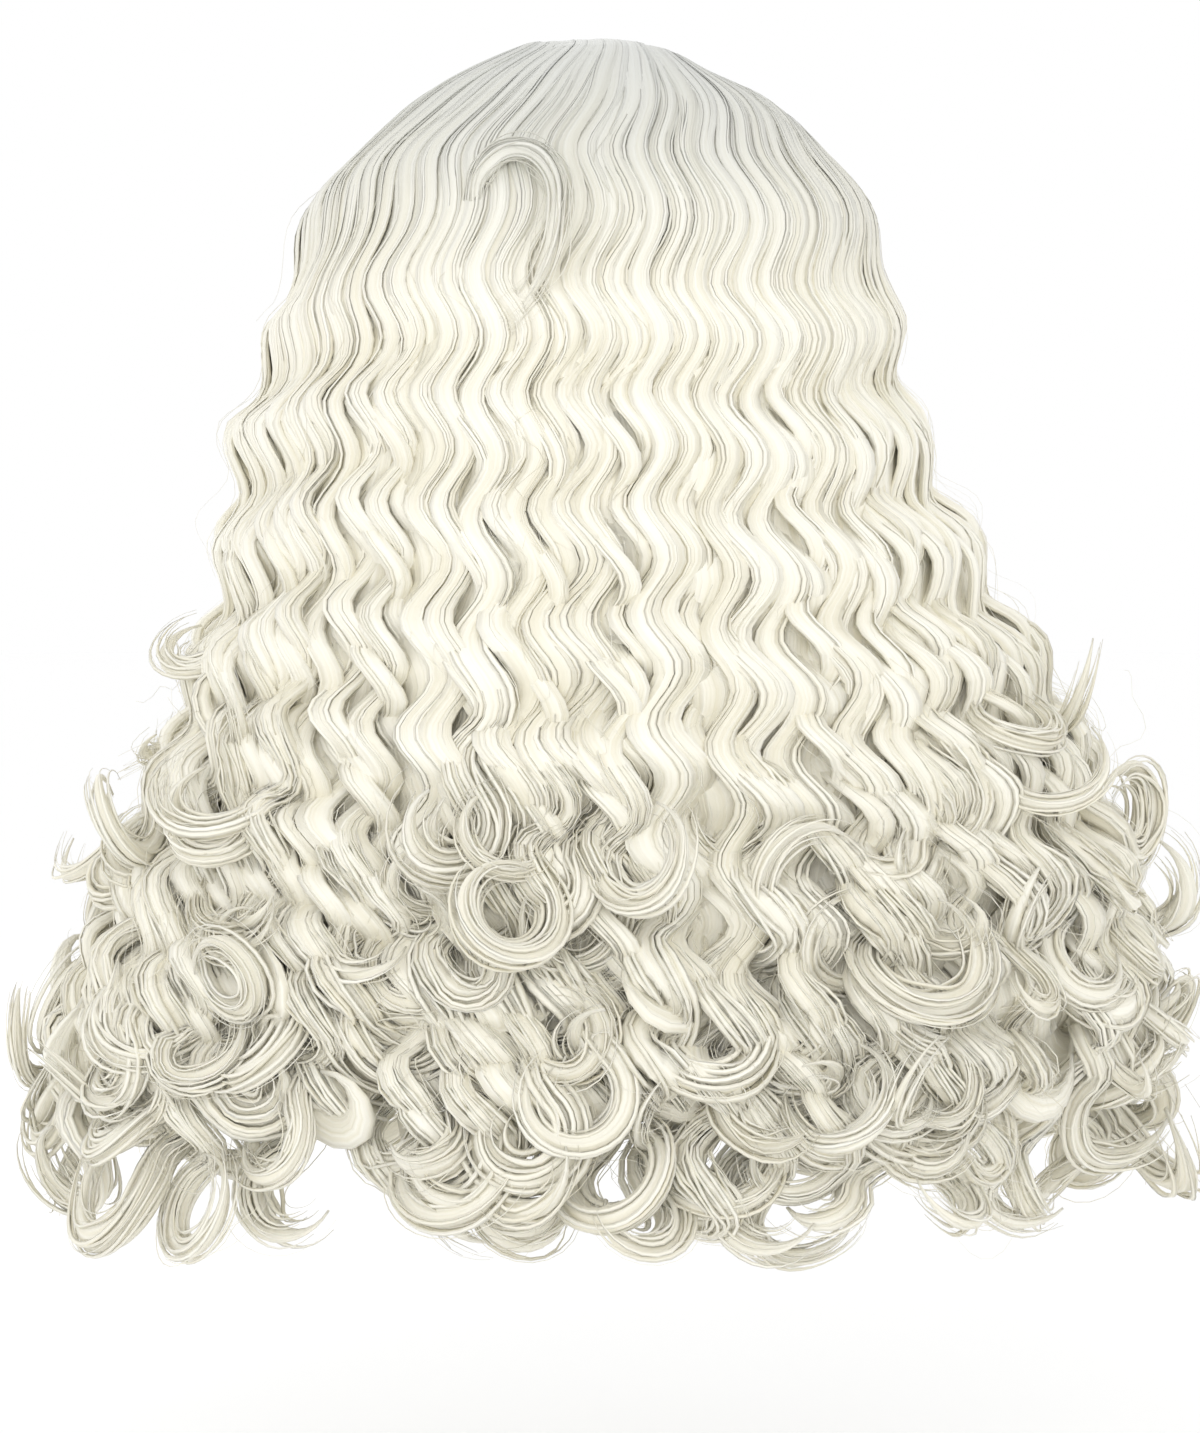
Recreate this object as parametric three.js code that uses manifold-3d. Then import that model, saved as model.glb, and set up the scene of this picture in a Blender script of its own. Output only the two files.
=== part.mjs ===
// A long, full curly wig as it hangs on a head: a thin stretch cap, and wavy hair that falls from
// a centre parting to below the shoulders and ends in ring curls.
// Millimetres, +Z up, the face opening towards -Y, the wearer's left towards +X. The origin is the
// point inside the top of the cap that rests on the crown of the head.
// Azimuth is measured about Z: 0 degrees is the face, 90 the wearer's left, 180 the back of the head.

import * as THREE from "three";
import { mergeVertices } from "three/addons/utils/BufferGeometryUtils.js";
import Module from "manifold-3d";

const wasm = await Module();
wasm.setup();

const { clamp, degToRad, lerp, smoothstep } = THREE.MathUtils;

// Driving dimensions

// The cap, sized for a head 555 mm round.
const CAP = {
  wall: 2,
  halfBreadth: 77, // inside, ear to ear
  halfLength: 97, // inside, forehead to back
  depth: 95, // from the crown down to the widest level
  napeTuck: 20, // how far the back draws in at the nape
  columns: 26,
  rows: 6,
};

// Height of the cap's edge round the head.
const CAP_EDGE = [
  { azimuth: 0, z: -52 }, // forehead
  { azimuth: 24, z: -56 },
  { azimuth: 50, z: -72 }, // temple
  { azimuth: 74, z: -116 }, // ear tab
  { azimuth: 102, z: -104 }, // over the ear
  { azimuth: 135, z: -132 },
  { azimuth: 180, z: -152 }, // nape
];

// The cap's panels meet along the middle of the head and across it. +X is left, and +Y is back.
const CAP_PANELS = [
  { name: "cap_left_front", x: 1, y: -1 },
  { name: "cap_right_front", x: -1, y: -1 },
  { name: "cap_left_back", x: 1, y: 1 },
  { name: "cap_right_back", x: -1, y: 1 },
];
const SEAM = 0.3; // left open between two panels

// Outline of the hair below the crown, over the crests of the locks, as reach from the Z axis.
const OUTLINE = [
  { z: -80, left: 132, right: 123, back: 140, front: 108 },
  { z: -130, left: 153, right: 134, back: 146, front: 112 },
  { z: -190, left: 161, right: 165, back: 152, front: 118 },
  { z: -250, left: 180, right: 200, back: 158, front: 124 },
  { z: -310, left: 205, right: 226, back: 163, front: 128 },
  { z: -370, left: 231, right: 237, back: 167, front: 131 },
  { z: -400, left: 234, right: 228, back: 165, front: 131 },
];

// The room inside the hanging hair, for the neck and the slope of the shoulders.
const INSIDE = [
  { z: -80, left: 79.5, right: 79.5, back: 99.5, front: 99.5 },
  { z: -130, left: 84, right: 84, back: 101, front: 100 },
  { z: -190, left: 98, right: 98, back: 105, front: 100 },
  { z: -250, left: 124, right: 128, back: 110, front: 100 },
  { z: -310, left: 152, right: 158, back: 117, front: 102 },
  { z: -400, left: 188, right: 186, back: 123, front: 104 },
];

const SQUARENESS = 2.25; // 2 is an ellipse in plan, more is boxier
const EQUATOR = OUTLINE[0].z; // where the crown ends and the hair starts to hang
const HEM = OUTLINE.at(-1).z; // where the locks turn into end curls

// The centre parting runs from behind the crown to the forehead, and the locks fall from it.
const PARTING = {
  top: 27, // height of the hair over the crown
  back: 14, // its rear end, behind the Z axis
  front: -101, // its front end
  frontZ: -50,
  depth: 36, // how deep the hair reaches towards the head at the crown
  frontDepth: 9, // and at the forehead
  setback: 14, // how far behind the front end its underside starts
  whorl: 5, // radius of the whorl that the back locks leave from
};
const CROWN_SHARPNESS = 1.2; // 1 is a round crown, more is pointed

// The waves set in the hair.
const WAVE = {
  length: 48, // one full S along a lock
  sideways: 8, // swing along the surface
  outward: 5, // swing off the surface
  rootShare: 0.25, // share of the crown over which the roots lie straight
  wander: 0.5, // radians by which neighbouring regions are out of step
  stray: 2.2, // how many times more they are so at the hem
};

// A lock is a rounded ridge between two grooves. The edge beside the face is drawn in further, and
// at the hem the ridges hang lower than the grooves.
const LOCK = { relief: 9, shoulders: [0.28, 0.72], edge: -0.9, scallop: 14 };
const ROWS = { crown: 9, hanging: 21, insideStep: 3 }; // the inside has every third row

// Sections of hair round the head, each cut from its neighbours along a groove.
const SECTIONS = [
  { name: "left_front_hair", from: 46, to: 82, locks: 3, face: "from" },
  { name: "left_side_hair", from: 82, to: 128, locks: 4 },
  { name: "back_hair", from: 128, to: 232, locks: 10 },
  { name: "right_side_hair", from: 232, to: 278, locks: 4 },
  { name: "right_front_hair", from: 278, to: 314, locks: 3, face: "to" },
];
const GAP = 0.4; // between neighbouring sections, and between the hair and the cap

// End curls: one hangs from each lock, and these sizes take turns. A curl starts its inset inside the
// outline. Its ring lies along the hair, or leans off it, and stands off by the kick at its tip.
const END_CURLS = [
  { ring: 18, turns: 0.8, drop: 29, stout: 14, inset: 13, kick: 12, lean: 12 },
  { ring: 16, turns: 0.7, drop: 41, stout: 12, inset: 31, kick: 4, lean: 0 },
  { ring: 19, turns: 0.75, drop: 20, stout: 15, inset: 13, kick: 14, lean: -8 },
  { ring: 17, turns: 0.65, drop: 35, stout: 12, inset: 31, kick: 4, lean: 0 },
];

// Loose ring curls: one on the crown, and those that break the outline low on both sides.
const CROWN_CURL = { turns: 0.9, drop: 12, stout: 8, inset: 6, kick: 14, lean: 0 };
const SIDE_CURL = { turns: 0.8, drop: 6, stout: 11, inset: 13, kick: 8, lean: 35 };
const LOOSE_CURLS = [
  { ...CROWN_CURL, azimuth: 163, row: 0.48, hand: 1, ring: 17 },
  { ...SIDE_CURL, azimuth: 104, row: 1.62, hand: -1, ring: 16 },
  { ...SIDE_CURL, azimuth: 98, row: 1.87, hand: 1, ring: 18 },
  { ...SIDE_CURL, azimuth: 260, row: 1.5, hand: 1, ring: 15 },
  { ...SIDE_CURL, azimuth: 254, row: 1.78, hand: -1, ring: 17 },
];
const CURL = {
  sides: 5,
  steps: 8,
  rise: 0.09, // how far up its lock a curl starts, in rows
  tighten: 0.25, // how much the ring closes in one turn
  flatness: 0.8, // thickness over width
  tip: 0.65, // width at the tip over width at the root
  edgeRoom: 0.65, // lock widths kept between a curl and the edge of its section
};

const HAIR = new THREE.MeshStandardMaterial({ color: 0xf3efdf, roughness: 0.45, metalness: 0 });
const NET = new THREE.MeshStandardMaterial({ color: 0xe6dfd0, roughness: 0.85, metalness: 0 });

// Tables and directions

// A table's column at x, where the table is sorted by its key column.
function readTable(table, key, x, column) {
  const sign = Math.sign(table[1][key] - table[0][key]);
  let i = 0;
  while (i < table.length - 2 && sign * x > sign * table[i + 1][key]) i += 1;
  const share = (x - table[i][key]) / (table[i + 1][key] - table[i][key]);
  return lerp(table[i][column], table[i + 1][column], clamp(share, 0, 1));
}

// Level directions at an azimuth: away from the Z axis, and sideways towards a larger azimuth.
function outwardAt(azimuth) {
  const a = degToRad(azimuth);
  return new THREE.Vector3(Math.sin(a), -Math.cos(a), 0);
}
const sidewaysAt = (azimuth) => outwardAt(azimuth + 90);

// Reach of an outline table from the Z axis, at a height and an azimuth.
function reach(table, azimuth, z) {
  const { x, y } = outwardAt(azimuth);
  const halfX = readTable(table, "z", z, x > 0 ? "left" : "right");
  const halfY = readTable(table, "z", z, y > 0 ? "back" : "front");
  const sum = Math.abs(x / halfX) ** SQUARENESS + Math.abs(y / halfY) ** SQUARENESS;
  return sum ** (-1 / SQUARENESS);
}

// Solids

// A closed mesh as a solid for joining and cutting, and such a solid as a geometry.
function solidOf(geometry) {
  const merged = mergeVertices(geometry, 1e-4);
  return new wasm.Manifold(
    new wasm.Mesh({
      numProp: 3,
      vertProperties: merged.attributes.position.array,
      triVerts: new Uint32Array(merged.index.array),
    }),
  );
}

function geometryOf(solid) {
  const mesh = solid.getMesh();
  const geometry = new THREE.BufferGeometry();
  geometry.setAttribute("position", new THREE.BufferAttribute(mesh.vertProperties, 3));
  geometry.setIndex(new THREE.BufferAttribute(mesh.triVerts, 1));
  geometry.computeVertexNormals();
  return geometry;
}

// A list of points and faces that grows piece by piece into one closed mesh.
class Skin {
  points = [];
  faces = [];

  addRow(row) {
    return row.map((p) => this.points.push(p) - 1);
  }

  // The surface through rows of equal length. Seen from its front, each row runs to the right, and
  // the next one lies below it.
  addGrid(rows) {
    for (let i = 0; i + 1 < rows.length; i += 1) this.addStrip(rows[i], rows[i + 1]);
  }

  // The strip between two lines, which may have different numbers of points. Turned, it faces back.
  addStrip(upper, lower, turned = false) {
    let i = 0;
    let j = 0;
    while (i + 1 < upper.length || j + 1 < lower.length) {
      const upperNext = (i + 1) / (upper.length - 1);
      const lowerNext = (j + 1) / (lower.length - 1);
      const corners = [upper[i], lower[j]];
      if (j + 1 >= lower.length || (i + 1 < upper.length && upperNext <= lowerNext)) {
        i += 1;
        corners.push(upper[i]);
      } else {
        j += 1;
        corners.push(lower[j]);
      }
      this.faces.push(...(turned ? corners.reverse() : corners));
    }
  }

  // A fan that closes a ring at one point.
  addFan(ring, tip) {
    const [corner] = this.addRow([tip]);
    for (let j = 0; j + 1 < ring.length; j += 1) this.faces.push(corner, ring[j], ring[j + 1]);
  }

  toGeometry() {
    return new THREE.BufferGeometry().setFromPoints(this.points).setIndex(this.faces);
  }
}

const mirrored = (rows) => rows.map((row) => row.toReversed());
const columnOf = (rows, j) => rows.map((row) => row.at(j));

// One closed wall between an outer and an inner grid of points.
function wallBetween(outerPoints, innerPoints) {
  const skin = new Skin();
  const outer = outerPoints.map((row) => skin.addRow(row));
  const inner = innerPoints.map((row) => skin.addRow(row));
  skin.addGrid(outer);
  skin.addGrid(mirrored(inner));
  skin.addStrip(inner[0], outer[0]);
  skin.addStrip(outer.at(-1), inner.at(-1));
  skin.addStrip(columnOf(outer, 0), columnOf(inner, 0));
  skin.addStrip(columnOf(outer, -1), columnOf(inner, -1), true);
  return skin.toGeometry();
}

// The cap

// A point of the cap's surface, offset outwards: share 0 is the crown, and 1 is the edge.
function capPoint(azimuth, share, offset) {
  const edge = readTable(CAP_EDGE, "azimuth", Math.abs(azimuth), "z");
  const nape = CAP_EDGE.at(-1).z;
  const z = edge * (1 - Math.cos(share * Math.PI * 0.5));
  const level = clamp(1 + z / CAP.depth, 0, 1);
  const backward = Math.max(0, -Math.cos(degToRad(azimuth)));
  const below = Math.max(0, (-CAP.depth - z) / (-CAP.depth - nape));
  const tuck = 1 - (CAP.napeTuck / CAP.halfLength) * backward * below ** 2;
  const width = Math.sqrt(1 - level ** 2) * tuck;
  const { x, y } = outwardAt(azimuth);
  return new THREE.Vector3(
    x * width * (CAP.halfBreadth + offset),
    y * width * (CAP.halfLength + offset),
    z + offset * level,
  );
}

// Closed rings of the cap's surface, from just under the crown to the edge.
function capRings(skin, offset) {
  const rings = [];
  for (let i = 1; i <= CAP.rows; i += 1) {
    const row = [];
    for (let j = 0; j < CAP.columns; j += 1)
      row.push(capPoint((360 * j) / CAP.columns - 180, i / CAP.rows, offset));
    const ring = skin.addRow(row);
    rings.push([...ring, ring[0]]);
  }
  return rings;
}

// The whole cap: a thin dome, open below.
function makeCap() {
  const skin = new Skin();
  const outer = capRings(skin, CAP.wall);
  const inner = capRings(skin, 0);
  skin.addGrid(outer);
  skin.addFan(outer[0], new THREE.Vector3(0, 0, CAP.wall));
  skin.addGrid(mirrored(inner));
  skin.addFan(inner[0].toReversed(), new THREE.Vector3(0, 0, 0));
  skin.addStrip(outer.at(-1), inner.at(-1));
  return solidOf(skin.toGeometry());
}

// One panel of the cap, cut along its seams.
function capPanel(cap, panel) {
  const half = cap.trimByPlane([panel.x, 0, 0], SEAM / 2);
  return geometryOf(half.trimByPlane([0, panel.y, 0], SEAM / 2));
}

// The solid form that the hair fits over: the cap filled in, with a little room round it.
function headForm() {
  const skin = new Skin();
  const rings = capRings(skin, CAP.wall + GAP);
  const skirt = skin.addRow(rings.at(-1).slice(0, -1).map((i) => skin.points[i].clone()));
  for (const i of skirt) skin.points[i].z -= CAP.wall + GAP;
  rings.push([...skirt, skirt[0]]);
  skin.addGrid(rings);
  skin.addFan(rings[0], new THREE.Vector3(0, 0, CAP.wall + GAP));
  skin.addFan(rings.at(-1).toReversed(), new THREE.Vector3(0, 0, -CAP.depth));
  return solidOf(skin.toGeometry());
}

// The hair

// Where the lock at an azimuth leaves the parting, on the outside of the hair or on its underside.
function rootOf(azimuth, underside) {
  const from = SECTIONS[0].from;
  const to = SECTIONS[1].to;
  const turned = azimuth > 180 ? 360 - azimuth : azimuth;
  const forward = clamp((to - turned) / (to - from), 0, 1);
  const swing = forward * Math.PI * 0.5;
  const root = new THREE.Vector3(
    0,
    lerp(PARTING.back, PARTING.front, Math.sin(swing)),
    lerp(PARTING.frontZ, PARTING.top, Math.cos(swing)),
  );
  if (underside) {
    root.y += forward * PARTING.setback;
    root.z -= lerp(PARTING.depth, PARTING.frontDepth, forward);
  }
  if (turned > to) root.addScaledVector(outwardAt(azimuth), PARTING.whorl);
  else root.x = azimuth < 180 ? GAP / 2 : -GAP / 2;
  return root;
}

// A place on the outside or inside of the hair: its point and the way that the surface faces.
// Rows 0 to 1 run over the crown to the equator, and 1 to 2 hang from there to the hem.
function placeAt(table, azimuth, row) {
  const outward = outwardAt(azimuth);
  if (row > 1) {
    const z = lerp(EQUATOR, HEM, row - 1);
    return { point: outward.clone().multiplyScalar(reach(table, azimuth, z)).setZ(z), normal: outward };
  }
  const root = rootOf(azimuth, table === INSIDE);
  const turn = row * Math.PI * 0.5;
  const end = outward.clone().multiplyScalar(reach(table, azimuth, EQUATOR));
  const point = root.clone().lerp(end, Math.sin(turn) ** CROWN_SHARPNESS);
  point.z = lerp(EQUATOR, root.z, Math.cos(turn));
  const normal = outward.multiplyScalar(Math.sin(turn)).setZ(Math.cos(turn));
  return { point, normal };
}

// The swing of the waves at a place: sideways and off the surface.
function swingAt(azimuth, row) {
  const z = row > 1 ? lerp(EQUATOR, HEM, row - 1) : lerp(EQUATOR + WAVE.length * 3, EQUATOR, row);
  const a = degToRad(azimuth);
  const hung = Math.max(0, row - 1);
  const step = WAVE.wander * (Math.sin(3 * a) + WAVE.stray * hung * Math.sin(8 * a + 1));
  const phase = (2 * Math.PI * (EQUATOR - z)) / WAVE.length + step;
  const grown = smoothstep(row, WAVE.rootShare, 1);
  return {
    sideways: WAVE.sideways * grown * Math.sin(phase),
    outward: WAVE.outward * grown * (Math.cos(phase) - 1),
  };
}

// A point on the outside of the hair: relief 1 is the crest of a lock, 0 the groove beside it.
function outerPoint(azimuth, row, relief, nudge) {
  const { point, normal } = placeAt(OUTLINE, azimuth, row);
  const swing = swingAt(azimuth, row);
  point.z -= LOCK.scallop * Math.max(0, relief) * smoothstep(row, 1.8, 2);
  point.addScaledVector(normal, swing.outward - LOCK.relief * (1 - relief));
  return point.addScaledVector(sidewaysAt(azimuth), swing.sideways + nudge);
}

function innerPoint(azimuth, row, nudge) {
  const { point } = placeAt(INSIDE, azimuth, row);
  return point.addScaledVector(sidewaysAt(azimuth), nudge);
}

// Columns of a section, from its low azimuth to its high one. The two edges draw in by half a gap.
function columnsOf(section) {
  const width = (section.to - section.from) / section.locks;
  const columns = [{ azimuth: section.from, relief: 0, nudge: GAP / 2 }];
  for (let k = 0; k < section.locks; k += 1) {
    const start = section.from + k * width;
    for (const across of LOCK.shoulders)
      columns.push({ azimuth: start + across * width, relief: 1, nudge: 0 });
    columns.push({ azimuth: start + width, relief: 0, nudge: 0 });
  }
  columns.at(-1).nudge = -GAP / 2;
  if (section.face === "from") columns[0].relief = LOCK.edge;
  if (section.face === "to") columns.at(-1).relief = LOCK.edge;
  return columns;
}

// The rows of a lock from its root to the hem.
function rowList() {
  const rows = [];
  for (let i = 0; i < ROWS.crown; i += 1) rows.push(i / ROWS.crown);
  for (let i = 0; i <= ROWS.hanging; i += 1) rows.push(1 + i / ROWS.hanging);
  return rows;
}

// The locks of a section side by side, as one wall from the parting to the hem.
function lockWall(section) {
  const columns = columnsOf(section);
  const grooves = columns.filter((c) => c.relief < 1);
  const rows = rowList();
  const insideRows = rows.filter((row, i) => i % ROWS.insideStep === 0);
  const outer = rows.map((row) => columns.map((c) => outerPoint(c.azimuth, row, c.relief, c.nudge)));
  const inner = insideRows.map((row) => grooves.map((c) => innerPoint(c.azimuth, row, c.nudge)));
  return solidOf(wallBetween(outer, inner));
}

// A tapered lock along a path, a little flatter than it is wide.
function taperedLock(path, stout) {
  const skin = new Skin();
  const { normals, binormals } = path.computeFrenetFrames(CURL.steps);
  const rings = [];
  for (let i = 0; i <= CURL.steps; i += 1) {
    const share = i / CURL.steps;
    const size = stout * lerp(1, CURL.tip, share);
    const row = [];
    for (let k = 0; k < CURL.sides; k += 1) {
      const turn = (2 * Math.PI * k) / CURL.sides;
      const point = path.getPoint(share);
      point.addScaledVector(normals[i], size * CURL.flatness * Math.cos(turn));
      row.push(point.addScaledVector(binormals[i], size * Math.sin(turn)));
    }
    const ring = skin.addRow(row);
    rings.push([...ring, ring[0]]);
  }
  skin.addGrid(mirrored(rings));
  skin.addFan(rings[0].toReversed(), path.getPoint(0));
  skin.addFan(rings.at(-1), path.getPoint(1));
  return solidOf(skin.toGeometry());
}

// The middle of a lock, some way in from its crest. Its swing dies away towards the inside.
function lockMiddle(azimuth, row, inset) {
  const { point, normal } = placeAt(OUTLINE, azimuth, row);
  const thickness = point.distanceTo(innerPoint(azimuth, row, 0));
  point.addScaledVector(normal, -inset);
  const swing = swingAt(azimuth, row).sideways * (1 - inset / thickness);
  return point.addScaledVector(sidewaysAt(azimuth), swing);
}

// A ring curl: it comes down out of a lock and turns round on itself, to one hand.
function ringCurl(curl) {
  const { azimuth, row, hand, inset } = curl;
  const { normal } = placeAt(OUTLINE, azimuth, row);
  const sideways = sidewaysAt(azimuth).multiplyScalar(hand);
  const down = new THREE.Vector3().crossVectors(sideways, normal).multiplyScalar(hand);
  const across = sideways.clone().applyAxisAngle(down, -hand * degToRad(curl.lean));
  const off = normal.clone().applyAxisAngle(down, -hand * degToRad(curl.lean));
  const stem = [row - CURL.rise, row - CURL.rise / 2, row];
  const points = stem.map((at) => lockMiddle(azimuth, at, inset));
  const start = points.at(-1);
  for (let i = 0; i <= CURL.steps; i += 1) {
    const turned = (i / CURL.steps) * curl.turns;
    const angle = 2 * Math.PI * turned;
    const ring = curl.ring * (1 - CURL.tighten * turned);
    const point = start.clone().addScaledVector(across, curl.ring - ring * Math.cos(angle));
    point.addScaledVector(down, curl.drop + ring * Math.sin(angle));
    points.push(point.addScaledVector(off, curl.kick * turned));
  }
  return taperedLock(new THREE.CatmullRomCurve3(points), curl.stout);
}

// The hand that a section's end curl turns to. The outermost two turn inwards, clear of the next section.
function handOf(k, locks) {
  if (k === 0) return 1;
  if (k === locks - 1) return -1;
  return k % 2 === 0 ? 1 : -1;
}

// The end curls of a section.
function endCurls(section) {
  const width = (section.to - section.from) / section.locks;
  const curls = [];
  for (let k = 0; k < section.locks; k += 1) {
    const place = clamp(k + 0.5, CURL.edgeRoom, section.locks - CURL.edgeRoom);
    const azimuth = section.from + place * width;
    const size = END_CURLS[k % END_CURLS.length];
    curls.push({ ...size, azimuth, row: 2, hand: handOf(k, section.locks) });
  }
  return curls;
}

// A section of hair: its locks, fitted over the head, with their curls.
function makeSection(section, head) {
  const loose = LOOSE_CURLS.filter((c) => section.from < c.azimuth && c.azimuth < section.to);
  const curls = [...endCurls(section), ...loose].map(ringCurl);
  return geometryOf(wasm.Manifold.union([lockWall(section).subtract(head), ...curls]));
}

// The assembly

const wig = new THREE.Group();

function addPiece(name, geometry, material) {
  const mesh = new THREE.Mesh(geometry, material);
  mesh.name = name;
  wig.add(mesh);
}

const cap = makeCap();
const head = headForm();
for (const panel of CAP_PANELS) addPiece(panel.name, capPanel(cap, panel), NET);
for (const section of SECTIONS) addPiece(section.name, makeSection(section, head), HAIR);

export default wig;
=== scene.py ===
"""A long curly wig: a net cap, wavy locks that end in ring curls, and loose strands."""

import math
from collections import namedtuple

import bmesh
import bpy
import numpy as np
from bpy.props import FloatProperty, FloatVectorProperty, IntProperty, PointerProperty
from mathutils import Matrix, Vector


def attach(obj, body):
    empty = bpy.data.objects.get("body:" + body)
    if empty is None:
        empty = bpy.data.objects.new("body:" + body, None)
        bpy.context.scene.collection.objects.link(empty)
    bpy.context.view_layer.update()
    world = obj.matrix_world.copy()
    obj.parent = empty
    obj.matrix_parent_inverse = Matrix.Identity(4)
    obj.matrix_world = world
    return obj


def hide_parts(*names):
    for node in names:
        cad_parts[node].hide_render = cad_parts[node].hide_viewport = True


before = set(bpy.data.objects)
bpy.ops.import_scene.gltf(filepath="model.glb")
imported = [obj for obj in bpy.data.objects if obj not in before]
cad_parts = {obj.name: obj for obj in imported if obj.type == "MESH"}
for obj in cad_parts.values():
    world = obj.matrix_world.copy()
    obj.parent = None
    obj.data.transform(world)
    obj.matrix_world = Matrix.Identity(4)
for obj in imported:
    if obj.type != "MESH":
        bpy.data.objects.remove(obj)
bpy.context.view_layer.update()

bl_info = {
    "name": "Curly wig",
    "version": (1, 0, 0),
    "blender": (4, 5, 0),
    "location": "3D View > Sidebar > Wig",
    "description": "Builds a long curly wig from its cap, locks and loose strands",
    "category": "Object",
}

MM = 0.001

# Azimuth is in degrees about Z: 0 is the face, 90 the wearer's left, 180 the back of the head.
# Rows run down a lock: 0 to 1 over the crown to the equator, and 1 to 2 from there to the hem.
EQUATOR = -80 * MM
HEM = -400 * MM
SQUARENESS = 2.25  # of the outline from above, where 2 is an ellipse
CROWN_SHARPNESS = 1.2  # where 1 is a round crown


def columns(names, rows):
    """A table of millimetres as one array of metres for each column."""
    return dict(zip(names, np.array(rows, float).T * MM))


# Reach of the hair from the Z axis, over the crests of the locks.
OUTLINE = columns(
    ("z", "left", "right", "back", "front"),
    (
        (-80, 132, 123, 140, 108),
        (-130, 153, 134, 146, 112),
        (-190, 161, 165, 152, 118),
        (-250, 180, 200, 158, 124),
        (-310, 205, 226, 163, 128),
        (-370, 231, 237, 167, 131),
        (-400, 234, 228, 165, 131),
    ),
)

# The room inside the hanging hair.
INSIDE = columns(
    ("z", "left", "right", "back", "front"),
    (
        (-80, 79.5, 79.5, 99.5, 99.5),
        (-130, 84, 84, 101, 100),
        (-190, 98, 98, 105, 100),
        (-250, 124, 128, 110, 100),
        (-310, 152, 158, 117, 102),
        (-400, 188, 186, 123, 104),
    ),
)

# How far the hair may reach each way, and how gently it is held there.
FRONT_LIMIT = -127 * MM
BACK_LIMIT = 190 * MM
LEFT_LIMIT = 255 * MM
RIGHT_LIMIT = -256 * MM
LIMIT_EASE = 15 * MM

# The waves of the locks.
FIRST_CREST = -9.5 * MM  # height of the first crest from the equator
CROWN_WAVES = 3  # waves between the parting and the equator
PHASE_DRIFT = 0.5  # radians by which the waves get out of step round the head
HEM_PHASE_DRIFT = 2.2  # how many times that is added at the hem
HEM_GROWTH = 0.5  # how much larger the waves are at the hem than at the equator

# The parting that the locks fall from, and the whorl at its rear end.
PARTING_TOP = 27 * MM
PARTING_BACK = 14 * MM
PARTING_FRONT = -101 * MM
PARTING_FRONT_Z = -50 * MM
PARTING_GROOVE = 4 * MM
WHORL = 5 * MM
FRONT_FROM = 46
SIDE_FROM = 82
SIDE_TO = 128

# How the locks lie on the crown.
SWIRL = 14  # degrees that a lock turns round the head from its root to the side of the crown
COMB_FORWARD = 32 * MM  # how far in front of the whorl the locks of the back take root
COMB_SPREAD = 46 * MM  # and how far to the side
COMB_RISE = 2 * MM  # and how far above the surface
CROWN_ROUND = 35 * MM  # radius of the top of the crown from side to side
RIGHT_DROP = 6 * MM  # how much lower the crown is on the wearer's right
RIGHT_DROP_WIDTH = 55 * MM  # distance from the middle at which the drop is complete
ROOT_SINK = 13 * MM  # how far the roots of the back dip into the hair
BESIDE = 2  # degrees to each side, from which the direction across a lock is taken
PLAIN_SIDE = 8 * MM  # weight of the direction that a lock would have if it weren't combed

# The rows over which each of these sets in or fades out, on the way down a lock.
SETS_IN = {
    "fine_steps": (0.2, 0.5),
    "swing": (0.25, 1),
    "stand": (0.35, 1.25),
    "drift": (0.4, 2),
    "depth": (0.6, 1.6),
    # where the painted sheen on the crests sets in
    "crests": (0.8, 1.1),
    "girth": (0.9, 1.4),
    "inset": (0.95, 2),
    "width": (1.1, 1.85),
}
FADES = {
    "root_sink": (0, 0.15),
    "groove": (0, 0.16),
    "combing": (0, 0.3),
    "comb_rise": (0.1, 0.4),
    "right_drop": (0.2, 0.6),
    "swirl": (0, 0.75),
}

# The degrees from the face over which each of these sets in, on the way to the back.
BEHIND = {
    "swirl": (60, SIDE_TO),
    "root_sink": (SIDE_TO - 30, SIDE_TO - 6),
    "whorl": (SIDE_TO - 10, SIDE_TO + 10),
    "combing": (SIDE_TO - 28, SIDE_TO + 32),
}

# The sections of hair: the piece, the solid that it stands for, where it starts and ends round the
# head, and the number of its locks. There are as many shorter curls among them.
SECTIONS = tuple(
    dict(zip(("piece", "node", "from", "to", "locks"), row))
    for row in (
        ("left_front_locks", "left_front_hair", FRONT_FROM, SIDE_FROM, 14),
        ("left_side_locks", "left_side_hair", SIDE_FROM, SIDE_TO, 20),
        ("left_back_locks", "back_hair", SIDE_TO, 180, 24),
        ("right_back_locks", "back_hair", 180, 360 - SIDE_TO, 24),
        ("right_side_locks", "right_side_hair", 360 - SIDE_TO, 360 - SIDE_FROM, 20),
        ("right_front_locks", "right_front_hair", 360 - SIDE_FROM, 360 - FRONT_FROM, 14),
    )
)

# The layers that a section's locks take turns in, in millimetres: how far inside the outline they
# lie, and the height at which their end curls start.
LAYERS = (
    {"inset": (12, 18), "tip": (-425, -390)},
    {"inset": (5, 9), "tip": (-390, -300)},
    {"inset": (9, 13), "tip": (-425, -370)},
    {"inset": (3, 6), "tip": (-350, -265)},
    {"inset": (16, 24), "tip": (-430, -395)},
    {"inset": (6, 10), "tip": (-412, -345)},
)

# The same for the shorter curls that come out between the locks, at the back and elsewhere.
BACK_CURLS = {"inset": (1, 9), "tip": (-428, -285)}
SIDE_CURLS = {"inset": (1, 9), "tip": (-425, -220)}
CURL_SINK = 18 * MM  # how deep in the hair a shorter curl starts
CURL_RISE = 0.2  # rows that it takes to come out

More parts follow.
